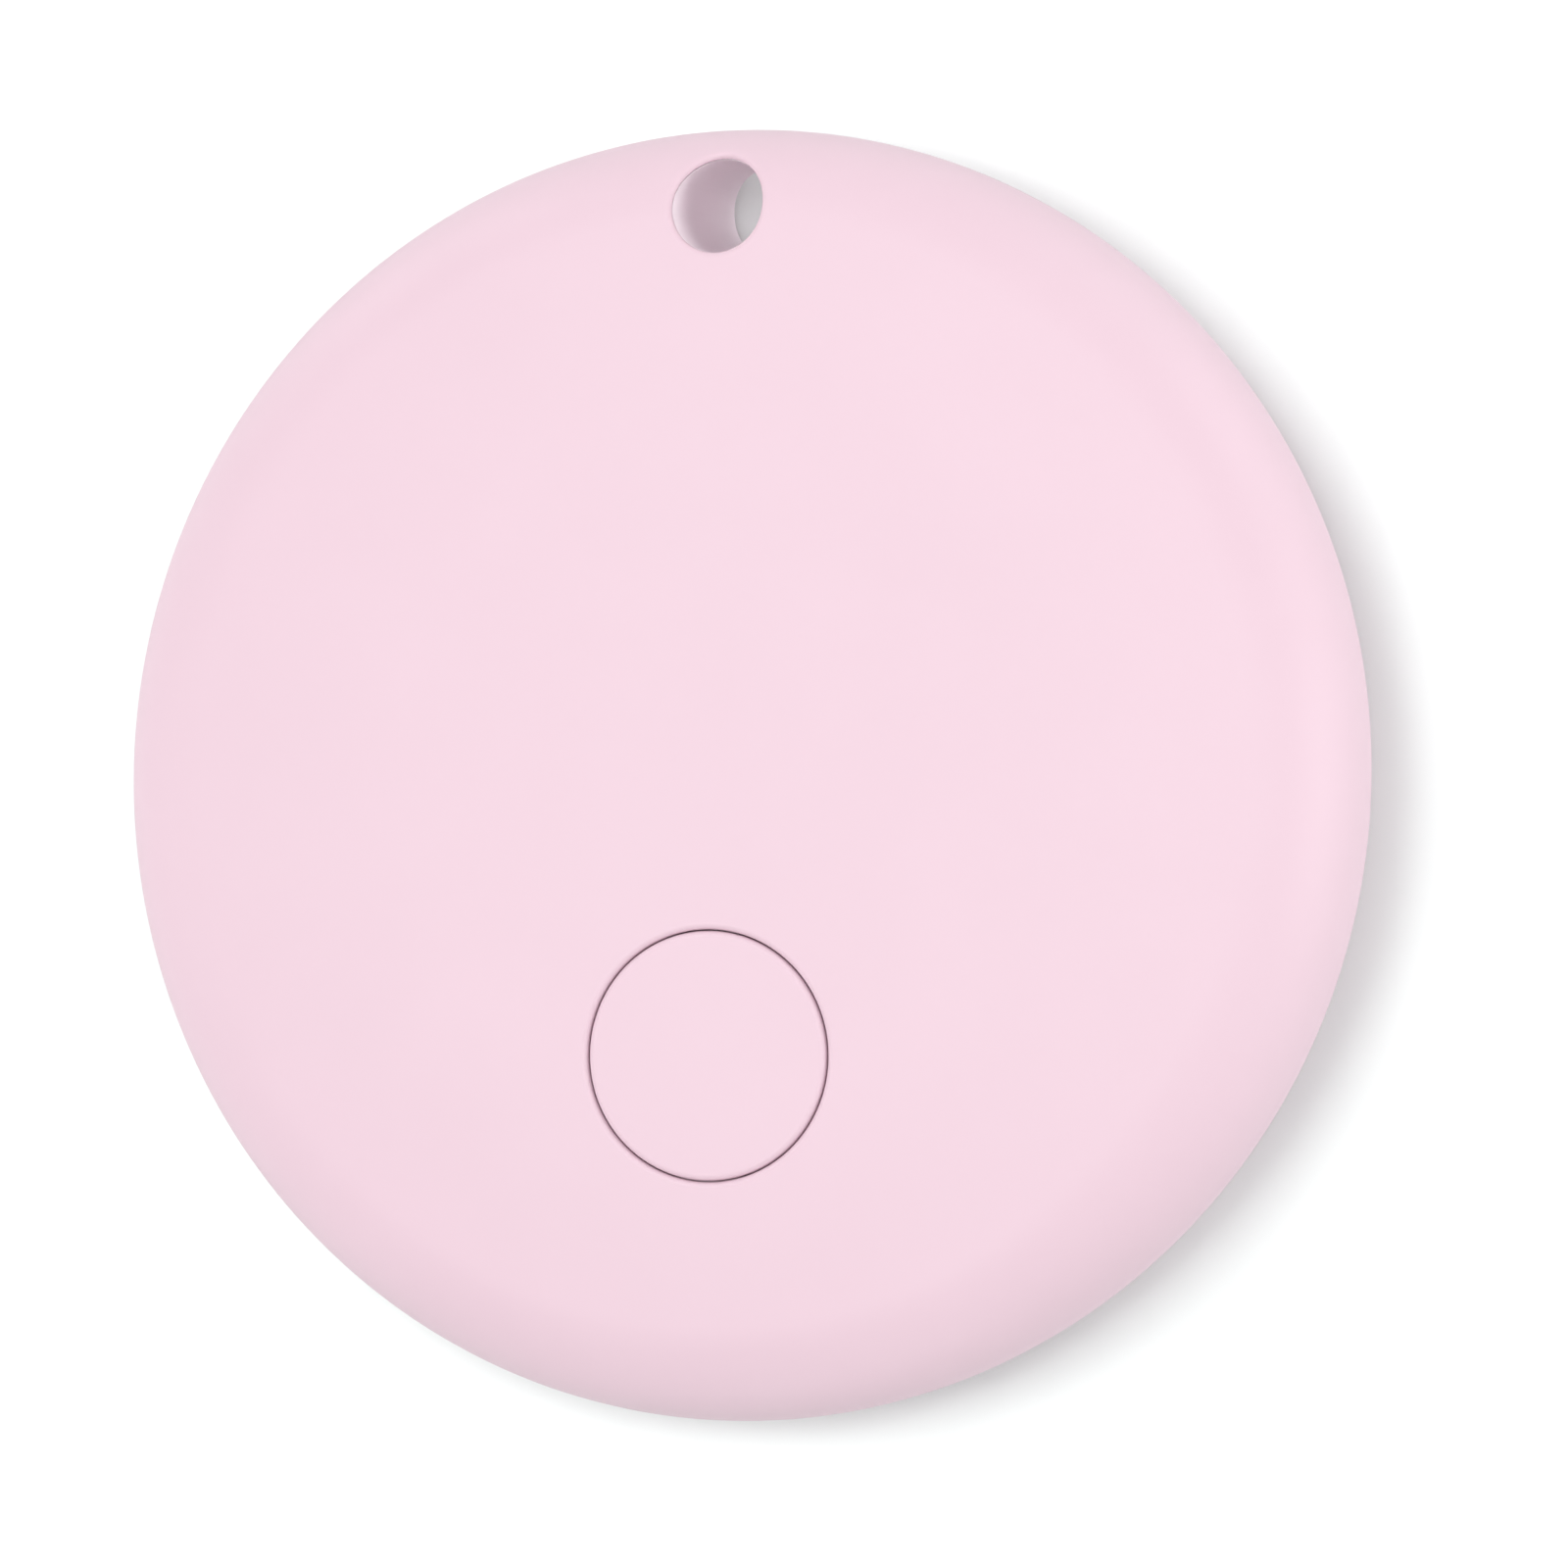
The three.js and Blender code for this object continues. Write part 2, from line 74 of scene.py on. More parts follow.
# The case: a flat back, a fully rounded edge, and a front that is a dome with a shoulder round it. The
# covers part below its widest line. The shoulder is an arc whose centre lies off the axis.
CASE_RADIUS = FRONT_HIGH[0]
EDGE_RADIUS = 3.4
EDGE_CENTRE = CASE_RADIUS - EDGE_RADIUS
EQUATOR_Z = EDGE_RADIUS
FRONT_EDGE_RADIUS = 3.13
SHOULDER_RADIUS = 60.0
SHOULDER_CENTRE = 8.0
DOME_RADIUS = 300.0
FRONT_SEAM_Z = FRONT_LOW[2]
REAR_SEAM_Z = FRONT_SEAM_Z - 0.04
SEAM_ROUND = 0.1

STRAP_CENTRE = middle("strap_hole_sleeve")
STRAP_RADIUS = 1.4
SLEEVE_RADIUS = (SLEEVE_HIGH[0] - SLEEVE_LOW[0]) / 2
SLEEVE_SEAT_GAP = 0.03
SLEEVE_END_GAP = 0.05
FRONT_MOUTH_ROUND = 0.15
BACK_MOUTH_ROUND = 0.3
MOUTH_WALL = 0.5         # how far a mouth's wall runs in before the sleeve's seat is cut
LIP = 0.17               # how thick each cover is over the sleeve's end
BOSS_RADIUS = 2.4

BUTTON_CENTRE = middle("button_cap")
BUTTON_HOLE_RADIUS = 3.69
BUTTON_CAP_RADIUS = 3.65
BUTTON_ROUND = 0.17
BUTTON_RECESS_RADIUS = 4.45
BUTTON_RECESS_Z = 6.5
FLANGE_RADIUS = (CAP_HIGH[0] - CAP_LOW[0]) / 2
FLANGE_Z = (6.1, 6.45)
FLANGE_BEVEL = 0.05
FLANGE_HUB_RADIUS = BUTTON_CAP_RADIUS - 0.3
STEM_RADIUS = 0.85

CAVITY_RADIUS = 17.6
CAVITY_CORNER = 2.4
ROOF_Z = 6.1
FLOOR_Z = 1.2
TONGUE = (16.75, 17.5)
TONGUE_TOP_Z = 3.2
TONGUE_GAP_RADIUS = 2.6  # the tongue stops short of the strap hole's boss

# Posts for the frame's screws stand down from the front cover, with a shoulder just above the board.
POST_RADIUS = 1.3
POST_FOOT_Z = 3.65
POST_SHOULDER_RADIUS = 1.9
POST_SHOULDER_Z = 5.4
PILOT_RADIUS = 0.65
PILOT_TOP_Z = 5.75
PILOT_LEAD = 0.25        # how far the tool that cuts a pilot hole starts below the post's foot

DOOR_CENTRE = middle("battery_door")
DOOR_RADIUS = (DOOR_HIGH[0] - DOOR_LOW[0]) / 2
DOOR_SEAT_RADIUS = 13.75
DOOR_SEAT_ROUND = 0.12
DOOR_LEDGE_RADIUS = 12.4
DOOR_LEDGE_Z = 0.8
DOOR_COLLAR_RADIUS = 14.2
DOOR_COLLAR_Z = 1.75
DOOR_FACE_Z = DOOR_LOW[2]
DOOR_FACE_ROUND = 0.15
DOOR_PLATE_TOP_Z = 0.95
DOOR_FLANGE_TOP_Z = 0.75
DOOR_WALL = (10.6, 12.2)
DOOR_WALL_TOP_Z = DOOR_HIGH[2]
DOOR_WALL_ROUND = 0.12
SEAL_GROOVE_RADIUS = 11.6
SEAL_GROOVE_Z = (0.88, 1.62)
LUG_RADIUS = 13.25
LUG_Z = (1.85, DOOR_WALL_TOP_Z - 0.01)
LUG_DEGREES = 24
LUG_ANGLES = (90, 210, 330)
LUG_ROOT = 0.3           # how far a lug runs into the door's wall
NOTCH_RADIUS = 13.4
NOTCH_DEGREES = 32
DOOR_TURN = 40
COIN_SLOT = (14.0, 1.9, 0.45)    # length, width and depth
COIN_SLOT_MOUTH_ROUND = 0.12
COIN_SLOT_FLOOR_ROUND = 0.2
INDEX_RADIUS = 0.35
INDEX_DEPTH = 0.12
INDEX_ANGLE = 270
INDEX_ON_COVER = 14.7    # distances from the door's axis
INDEX_ON_DOOR = 12.75

# A level clear above the case, how far a cutting tool runs past what it cuts, and how far a piece that is
# joined on runs into the one it joins.
ABOVE = 8.0
PAST = 1.0
BITE = 0.1

# How many sides the round shapes have.
COUNT_OUTER = 256
COUNT_DOOR = 224
COUNT_BUTTON = 160
COUNT_INSIDE = 128
COUNT_HOLE = 96
COUNT_BOSS = 64
COUNT_POST = 32
COUNT_PILOT = 24

# A face whose normal has at least this Z component counts as level.
LEVEL = 0.99999


# ---- Meshes with known normals ----------------------------------------------------------------------

class Skin:
    """Points that know their own normals, joined by faces. A closed skin becomes a piece."""

    def __init__(self):
        self.points = []
        self.normals = []
        self.faces = []

    def loop(self, points, normals):
        start = len(self.points)
        self.points += [tuple(p) for p in points]
        self.normals += [tuple(n) for n in normals]
        return list(range(start, len(self.points)))

    def band(self, a, b):
        count = len(a)
        for i in range(count):
            j = (i + 1) % count
            self.faces.append((a[i], a[j], b[j], b[i]))

    def bands(self, loops):
        for a, b in zip(loops, loops[1:]):
            self.band(a, b)

    def cap(self, loop, normal):
        """Closes a flat loop with a fan, on points of its own so that its edge stays sharp."""
        rim = [self.points[i] for i in loop]
        centre = np.mean(rim, axis=0)
        edge = self.loop(rim, [normal] * len(rim))
        hub = self.loop([centre], [normal])[0]
        for i in range(len(edge)):
            self.faces.append((edge[i], edge[(i + 1) % len(edge)], hub))

    def mesh(self, name):
        data = bpy.data.meshes.new(name)
        data.from_pydata([Vector(p) * MM for p in self.points], [], self.faces)
        work = bmesh.new()
        work.from_mesh(data)
        bmesh.ops.remove_doubles(work, verts=work.verts, dist=1e-5 * MM)
        bmesh.ops.recalc_face_normals(work, faces=work.faces)
        work.to_mesh(data)
        work.free()
        data.validate()
        return data

    def normal_finder(self):
        """Finds the normals that were recorded at a point. A sharp edge has several."""
        tree = KDTree(len(self.points))
        for i, p in enumerate(self.points):
            tree.insert(Vector(p) * MM, i)
        tree.balance()
        return tree


def on_circle(count, radius=1.0, centre=(0, 0), start=0.0):
    angle = start + TURN * np.arange(count) / count
    return np.stack([centre[0] + radius * np.cos(angle), centre[1] + radius * np.sin(angle)], axis=1)


def lifted(flat, z):
    heights = np.broadcast_to(np.asarray(z, float), (len(flat),))
    return np.column_stack([flat, heights])


def slerp(a, b, t):
    """Turns from direction a to direction b, row by row."""
    dot = np.clip(np.sum(a * b, axis=1), -1, 1)
    angle = np.arccos(dot)[:, None]
    return (np.sin((1 - t) * angle) * a + np.sin(t * angle) * b) / np.sin(angle)


# ---- The outside of the case --------------------------------------------------------------------------

# The surface's own grid keeps clear of the holes, where a collar of points stands instead, and of the edge.
GRID_CLEARANCE = 0.35
COLLAR_WIDTH = 0.16
EDGE_CLEARANCE = 0.1


class Face:
    """One side of the case, front or back, as a surface turned about Z.

    It is flat out to a radius, and then follows arcs that meet on common tangents. An arc is given by
    the radius at which its centre lies, its own radius, and the tilt of the surface where it ends.
    Height is measured from the case's widest line, out through this side. A place on the surface is
    given by its arc length from the middle, and by its azimuth.
    """

    def __init__(self, side, flat, arcs):
        self.side = side
        self.arcs = []
        level, first = 0.0, 0.0
        for (_, outer, _), (_, inner, last) in reversed(list(zip(arcs[1:], arcs))):
            level -= (inner - outer) * math.cos(last)
        start = flat
        for number, (centre, radius, last) in enumerate(arcs):
            self.arcs.append((centre, level, radius, first, start))
            start += radius * (last - first)
            if number + 1 < len(arcs):
                level += (radius - arcs[number + 1][1]) * math.cos(last)
            first = last
        self.top = self.arcs[0][1] + self.arcs[0][2]

    def on(self, arc):
        """Radius, height and tilt of the normal at an arc length."""
        radius = np.array(arc, float)
        height, tilt = np.full(radius.shape, self.top), np.zeros(radius.shape)
        for centre, level, size, first, start in self.arcs:
            turn = first + (arc - start) / size
            past = arc > start
            radius = np.where(past, centre + size * np.sin(turn), radius)
            height = np.where(past, level + size * np.cos(turn), height)
            tilt = np.where(past, turn, tilt)
        return radius, height, tilt

    def arc_at(self, tilt, radius):
        arc = np.array(radius, float)
        for _, _, size, first, start in self.arcs:
            arc = np.where(tilt > first, start + (tilt - first) * size, arc)
        return arc

    def inside(self, radius, inset):
        """Height and tilt on the surface that lies an inset inside this one, short of the widest line."""
        height, tilt = np.full(np.shape(radius), self.top - inset), np.zeros(np.shape(radius))
        for centre, level, size, first, _ in self.arcs:
            if first >= math.pi / 2:
                break
            turn = np.arcsin(np.clip((radius - centre) / (size - inset), -1, 1))
            past = radius > centre + (size - inset) * math.sin(first)
            height = np.where(past, level + (size - inset) * np.cos(turn), height)
            tilt = np.where(past, turn, tilt)
        return height, tilt

    def z(self, height):
        return EQUATOR_Z + self.side * height

    def normal(self, tilt, azimuth):
        flat = np.sin(tilt)
        return np.stack([flat * np.cos(azimuth), flat * np.sin(azimuth), self.side * np.cos(tilt)], axis=-1)

    def place(self, flat):
        """Points and normals on the surface, from places on its unrolled plane."""
        arc = np.hypot(flat[:, 0], flat[:, 1])
        azimuth = np.arctan2(flat[:, 1], flat[:, 0])
        radius, height, tilt = self.on(arc)
        points = np.stack([radius * np.cos(azimuth), radius * np.sin(azimuth), self.z(height)], axis=1)
        return points, self.normal(tilt, azimuth)


FRONT_EDGE_CENTRE = CASE_RADIUS - FRONT_EDGE_RADIUS
DOME_TILT = math.asin(SHOULDER_CENTRE / (DOME_RADIUS - SHOULDER_RADIUS))
SHOULDER_TILT = math.asin((FRONT_EDGE_CENTRE - SHOULDER_CENTRE) / (SHOULDER_RADIUS - FRONT_EDGE_RADIUS))
FRONT = Face(1, 0, [(0, DOME_RADIUS, DOME_TILT),
                    (SHOULDER_CENTRE, SHOULDER_RADIUS, SHOULDER_TILT),
                    (FRONT_EDGE_CENTRE, FRONT_EDGE_RADIUS, math.pi / 2),
                    (EDGE_CENTRE, EDGE_RADIUS, math.pi)])
BACK = Face(-1, EDGE_CENTRE, [(EDGE_CENTRE, EDGE_RADIUS, math.pi)])


def rolled_edge(skin, face, centre, wall_radius, rounding, outward, count, steps=8):
    """A rounded edge between the case's surface and an upright round wall, as a ball rolls along it.

    outward is -1 for a hole, whose wall faces its axis, and 1 for a cap. Returns the loops from the
    surface to the wall, and the first loop's places on the unrolled plane.
    """
    spokes = on_circle(count)
    centres = np.array(centre) + spokes * (wall_radius - outward * rounding)
    radius = np.hypot(centres[:, 0], centres[:, 1])
    azimuth = np.arctan2(centres[:, 1], centres[:, 0])
    height, tilt = face.inside(radius, rounding)
    ball = lifted(centres, face.z(height))
    surface_normal = face.normal(tilt, azimuth)
    wall_normal = lifted(outward * spokes, 0)
    loops = []
    for step in range(steps + 1):
        normal = slerp(surface_normal, wall_normal, step / steps)
        loops.append(skin.loop(ball + rounding * normal, normal))
    skin.bands(loops)
    arc = face.arc_at(tilt, radius)
    flat = np.stack([arc * np.cos(azimuth), arc * np.sin(azimuth)], axis=1)
    return loops, flat


def wall_to(skin, loop, z, normals):
    """An upright wall from a loop to a level, or to the same loop moved by a depth."""
    points = np.array([skin.points[i] for i in loop])
    end = skin.loop(lifted(points[:, :2], z), normals)
    skin.band(loop, end)
    return end


def cdt_faces(flat, loops):
    """Triangles that fill between constraint loops, given as lists of indices into flat."""
    edges = [(loop[i], loop[(i + 1) % len(loop)]) for loop in loops for i in range(len(loop))]
    found = delaunay_2d_cdt([Vector(p) for p in flat], edges, [], 0, 1e-9)
    vertices, _, faces, origins = found[0], found[1], found[2], found[3]
    assert len(vertices) == len(flat), "two places coincide on the unrolled plane"
    source = [o[0] for o in origins]
    member = {}
    for number, loop in enumerate(loops):
        for i in loop:
            member[i] = number
    kept = []
    for face in faces:
        corners = [source[i] for i in face]
        owners = {member.get(i, -1) for i in corners}
        if len(owners) == 1 and owners != {-1} and next(iter(owners)) > 0:
            continue
        kept.append(corners)
    return kept


def surface_grid(face, last_arc, spacing_inner, spacing_edge):
    """Rings of places on the unrolled plane, closer together round the edge."""
    places = [np.zeros((1, 2))]
    edge = next(start for _, _, size, _, start in face.arcs if size < 2 * EDGE_RADIUS)
    arcs = list(np.arange(spacing_inner, edge - spacing_inner / 2, spacing_inner))
    steps = max(2, round((last_arc - edge) / spacing_edge))
    arcs += list(np.linspace(edge, last_arc, steps + 1)[:-1])
    for number, arc in enumerate(arcs):
        spacing = spacing_inner if arc < edge - spacing_inner else 2 * spacing_edge
        count = max(8, round(TURN * arc / spacing))
        places.append(on_circle(count, arc, start=(number % 2) * math.pi / count))
    return np.concatenate(places)


def near_loop(places, flat, margin):
    """Marks the places inside a convex loop or closer to it than a margin."""
    centre = flat.mean(axis=0)
    offset = places - centre
    reach = np.hypot(*(flat - centre).T)
    angle = np.arctan2(*(flat - centre).T[::-1])
    order = np.argsort(angle)
    at = np.interp(np.arctan2(offset[:, 1], offset[:, 0]), angle[order], reach[order], period=TURN)
    return np.hypot(*offset.T) < at + margin


def fill_surface(skin, face, outer_loop, outer_flat, holes):
    """Covers the case's surface between its outer loop and the loops of its holes."""
    last_arc = np.hypot(*outer_flat[0])
    places = surface_grid(face, last_arc, spacing_inner=1.1, spacing_edge=0.24)
    for _, flat in holes:
        places = places[~near_loop(places, flat, GRID_CLEARANCE)]
    collars = []
    for _, flat in holes:
        centre = flat.mean(axis=0)
        outward = (flat - centre) / np.hypot(*(flat - centre).T)[:, None]
        collars.append((flat + COLLAR_WIDTH * outward)[::2])
    extra = np.concatenate([places, *collars])
    extra = extra[np.hypot(*extra.T) < last_arc - EDGE_CLEARANCE]
    points, normals = face.place(extra)
    indices = list(outer_loop)
    flats = [outer_flat]
    loops = [list(range(len(outer_loop)))]
    for loop, flat in holes:
        loops.append(list(range(len(indices), len(indices) + len(loop))))
        indices += loop
        flats.append(flat)
    indices += skin.loop(points, normals)
    flats.append(extra)
    for corners in cdt_faces(np.concatenate(flats), loops):
        skin.faces.append(tuple(indices[i] for i in corners))


def seam_edge(skin, face, seam_height, count, steps=6):
    """The rounded corner where the case's surface turns in to the flat joint between the covers."""
    edge = EDGE_RADIUS - SEAM_ROUND
    height = seam_height + SEAM_ROUND
    radius = EDGE_CENTRE + math.sqrt(edge ** 2 - height ** 2)
    first = math.atan2(radius - EDGE_CENTRE, height)
    spokes = on_circle(count)
    loops = []
    for tilt in np.linspace(first, math.pi, steps + 1):
        ring = spokes * (radius + SEAM_ROUND * math.sin(tilt))
        level = face.z(height + SEAM_ROUND * math.cos(tilt))
        flat_part = spokes * math.sin(tilt)
        loops.append(skin.loop(lifted(ring, level), lifted(flat_part, face.side * math.cos(tilt))))
    skin.bands(loops)
    return loops, spokes * face.arc_at(first, radius)


def blind_hole(skin, loops, depth_z, normal_z):
    """Carries a rolled edge's wall on to a depth and closes it. A tool opens it later."""
    spokes = np.array([skin.normals[i] for i in loops[-1]])
    end = wall_to(skin, loops[-1], depth_z, spokes)
    skin.cap(end, (0, 0, normal_z))


def lathe(profile, count, centre=(0, 0)):
    """A closed mesh from (radius, z) points, first and last on the axis or the same point."""
    data = bpy.data.meshes.new("lathe")
    work = bmesh.new()
    rings = []
    closed = profile[0] == profile[-1]
    for radius, z in profile[:-1] if closed else profile:
        if radius < 1e-9:
            rings.append([work.verts.new((centre[0] * MM, centre[1] * MM, z * MM))])
        else:
            ring = lifted(on_circle(count, radius, centre), z)
            rings.append([work.verts.new(Vector(p) * MM) for p in ring])
    pairs = list(zip(rings, rings[1:])) + ([(rings[-1], rings[0])] if closed else [])
    for a, b in pairs:
        if len(a) == 1 and len(b) == 1:
            continue
        for i in range(count):
            j = (i + 1) % count
            corners = [a[i % len(a)], a[j % len(a)], b[j % len(b)], b[i % len(b)]]
            work.faces.new(list(dict.fromkeys(corners)))
    bmesh.ops.recalc_face_normals(work, faces=work.faces)
    work.to_mesh(data)
    work.free()
    return data


def disc(radius, low, high, centre=(0, 0), count=COUNT_BOSS):
    return lathe([(0, low), (radius, low), (radius, high), (0, high)], count, centre)


def ring(inner, outer, low, high, count):
    corners = [(inner, low), (outer, low), (outer, high), (inner, high), (inner, low)]
    return lathe(corners, count)


def extruded(outline, low, high):
    """A closed mesh from a flat outline carried straight up."""
    data = bpy.data.meshes.new("tool")
    work = bmesh.new()
    bottom = [work.verts.new((x * MM, y * MM, low * MM)) for x, y in outline]
    top = [work.verts.new((x * MM, y * MM, high * MM)) for x, y in outline]
    work.faces.new(bottom)
    work.faces.new(top)
    for i in range(len(outline)):
        j = (i + 1) % len(outline)
        work.faces.new([bottom[i], bottom[j], top[j], top[i]])
    bmesh.ops.recalc_face_normals(work, faces=work.faces)
    work.to_mesh(data)
    work.free()
    return data


def combined(base, steps):
    """Applies boolean steps, (operation, mesh), to a mesh and returns the result."""
    holder = bpy.data.objects.new("work", base)
    bpy.context.scene.collection.objects.link(holder)
    tools = []
    for operation, mesh in steps:
        tool = bpy.data.objects.new("tool", mesh)
        bpy.context.scene.collection.objects.link(tool)
        tool.hide_render = True
        modifier = holder.modifiers.new("cut", "BOOLEAN")
        modifier.operation = operation
        modifier.solver = "MANIFOLD"
        modifier.object = tool
        tools.append(tool)
    graph = bpy.context.evaluated_depsgraph_get()
    result = bpy.data.meshes.new_from_object(holder.evaluated_get(graph))
    for tool in [holder, *tools]:
        bpy.data.objects.remove(tool)
    return result


def set_normals(data, skins, smooth_degrees=30):
    """Gives every corner the normal its surface was made with, or a smoothed one inside the case.

    A level face keeps its own normal right up to its edges, and the rounded faces beside it meet it there.
    """
    data.polygons.foreach_set("use_smooth", [True] * len(data.polygons))
    face_normals = [p.normal.copy() for p in data.polygons]
    around = [[] for _ in data.vertices]
    for polygon in data.polygons:
        for v in polygon.vertices:
            around[v].append(polygon.index)
    finders = [(skin, skin.normal_finder()) for skin in skins]
    limit = math.cos(math.radians(smooth_degrees))
    found = []
    for polygon in data.polygons:
        own = face_normals[polygon.index]
        for v in polygon.vertices:
            best = None
            for skin, tree in finders:
                for _, index, _ in tree.find_range(data.vertices[v].co, 2e-5 * MM):
                    normal = Vector(skin.normals[index])
                    if normal.dot(own) > (best.dot(own) if best else 0.8):
                        best = normal
            if best is None:
                near = [face_normals[f] for f in around[v] if face_normals[f].dot(own) > limit]
                level = [n for n in near if abs(n.z) > LEVEL]
                best = level[0] if level else sum(near, Vector()).normalized()
            found.append(best)
    data.normals_split_custom_set(found)


def piece(name, data, body, slot_name, material, *nodes):
    obj = bpy.data.objects.new(name, data)
    bpy.context.scene.collection.objects.link(obj)
    data.materials.clear()
    data.materials.append(material)
    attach(obj, body)
    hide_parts(*nodes)


# ---- Materials ----------------------------------------------------------------------------------------

class Shader:
    """A Principled material whose colour, roughness and bump come from noise at real sizes."""

    def __init__(self, name):
        self.material = bpy.data.materials.new(name)
        self.material.use_nodes = True
        self.nodes = self.material.node_tree.nodes
        self.links = self.material.node_tree.links
        self.surface = self.nodes["Principled BSDF"]
        self.place = self.nodes.new("ShaderNodeTexCoord").outputs["Object"]

    def noise(self, size_mm, detail=2.0, stretch=(1, 1, 1)):
        """Noise whose features are about size_mm across."""
        mapping = self.nodes.new("ShaderNodeMapping")
        mapping.inputs["Scale"].default_value = stretch
        self.links.new(self.place, mapping.inputs["Vector"])
        texture = self.nodes.new("ShaderNodeTexNoise")
        texture.inputs["Scale"].default_value = 1 / (size_mm * MM)
        texture.inputs["Detail"].default_value = detail
        self.links.new(mapping.outputs["Vector"], texture.inputs["Vector"])
        return texture.outputs["Fac"]

    def between(self, factor, low, high):
        node = self.nodes.new("ShaderNodeMapRange")
        node.inputs["To Min"].default_value = low
        node.inputs["To Max"].default_value = high
        self.links.new(factor, node.inputs["Value"])
        return node.outputs["Result"]

    def mixed(self, factor, first, second):
        node = self.nodes.new("ShaderNodeMix")
        node.data_type = "RGBA"
        self.links.new(factor, node.inputs[0])
        node.inputs[6].default_value = (*first, 1)
        node.inputs[7].default_value = (*second, 1)
        return node.outputs[2]

    def colour(self, socket):
        self.links.new(socket, self.surface.inputs["Base Color"])

    def roughness(self, socket):
        self.links.new(socket, self.surface.inputs["Roughness"])

    def bump(self, height, depth_mm, strength=1.0):
        node = self.nodes.new("ShaderNodeBump")
        node.inputs["Strength"].default_value = strength
        node.inputs["Distance"].default_value = depth_mm * MM
        self.links.new(height, node.inputs["Height"])
        self.links.new(node.outputs["Normal"], self.surface.inputs["Normal"])


def case_plastic(name, low, high):
    """Pale pink satin plastic: a fine moulded texture, and a very slight unevenness in its colour."""
    shader = Shader(name)
    shader.colour(shader.mixed(shader.noise(4.0), low, high))
    shader.roughness(shader.between(shader.noise(0.3), 0.46, 0.54))
    shader.bump(shader.noise(0.06, 1.0), 0.0012, 0.35)
    shader.surface.inputs["Specular IOR Level"].default_value = 0.3
    return shader.material


def plain_stuff(name, low, high, rough, grain_mm, depth_mm, metallic=0.0, stretch=(1, 1, 1)):
    """A moulded, rolled or fired surface: two close colours, uneven gloss and a fine grain."""
    shader = Shader(name)
    grain = shader.noise(grain_mm, 3.0, stretch)
    shader.colour(shader.mixed(grain, low, high))
    shader.roughness(shader.between(grain, *rough))
    shader.bump(grain, depth_mm, 0.5)
    shader.surface.inputs["Metallic"].default_value = metallic
    return shader.material


PINK_LOW = (0.678, 0.504, 0.573)
PINK_HIGH = (0.694, 0.519, 0.589)
# The sleeve is given a paler pink than the case. This is painted light: it lightens the inside of the strap
# hole, which the lamps leave dark.
PAINTED_LIGHT_PINK_LOW = (0.962, 0.85, 0.905)
PAINTED_LIGHT_PINK_HIGH = (0.978, 0.87, 0.925)

MATERIALS = {
    "case_plastic": case_plastic("case_plastic", PINK_LOW, PINK_HIGH),
    # The sleeve's paler pink is painted light on the strap hole's wall.
    "sleeve_painted_light": case_plastic("sleeve_painted_light", PAINTED_LIGHT_PINK_LOW, PAINTED_LIGHT_PINK_HIGH),
    "silicone": plain_stuff(
        "silicone", (0.03, 0.03, 0.034), (0.05, 0.05, 0.055), (0.6, 0.75), 0.1, 0.003),
    "cell_steel": plain_stuff(
        "cell_steel", (0.62, 0.63, 0.64), (0.74, 0.75, 0.76), (0.22, 0.36), 0.05, 0.001, 1.0, (1, 12, 1)),
    "frame_plastic": plain_stuff(
        "frame_plastic", (0.74, 0.72, 0.67), (0.82, 0.8, 0.76), (0.5, 0.62), 0.12, 0.004),
    "screw_steel": plain_stuff(
        "screw_steel", (0.5, 0.5, 0.52), (0.64, 0.64, 0.66), (0.25, 0.4), 0.08, 0.003, 1.0),
    "contact_brass": plain_stuff(
        "contact_brass", (0.8, 0.58, 0.26), (0.9, 0.7, 0.36), (0.2, 0.34), 0.06, 0.001, 1.0, (8, 1, 1)),
    "board": plain_stuff(
        "board", (0.015, 0.12, 0.055), (0.025, 0.18, 0.09), (0.25, 0.38), 0.25, 0.004),
    "component_black": plain_stuff(
        "component_black", (0.014, 0.014, 0.016), (0.03, 0.03, 0.032), (0.5, 0.7), 0.05, 0.003),
    "component_ceramic": plain_stuff(
        "component_ceramic", (0.7, 0.68, 0.62), (0.8, 0.78, 0.72), (0.45, 0.6), 0.05, 0.002),
    "component_metal": plain_stuff(
        "component_metal", (0.58, 0.58, 0.6), (0.7, 0.7, 0.72), (0.25, 0.4), 0.04, 0.001, 1.0, (6, 1, 1)),
    "component_tan": plain_stuff(
        "component_tan", (0.36, 0.25, 0.16), (0.48, 0.36, 0.25), (0.4, 0.55), 0.05, 0.002),
    "adhesive": plain_stuff(
        "adhesive", (0.8, 0.8, 0.77), (0.88, 0.88, 0.85), (0.75, 0.9), 0.08, 0.01),
    "sounder_brass": plain_stuff(
        "sounder_brass", (0.74, 0.55, 0.24), (0.84, 0.65, 0.33), (0.28, 0.42), 0.08, 0.001, 1.0, (1, 10, 1)),
}


# ---- Case pieces ---------------------------------------------------------------------------------------

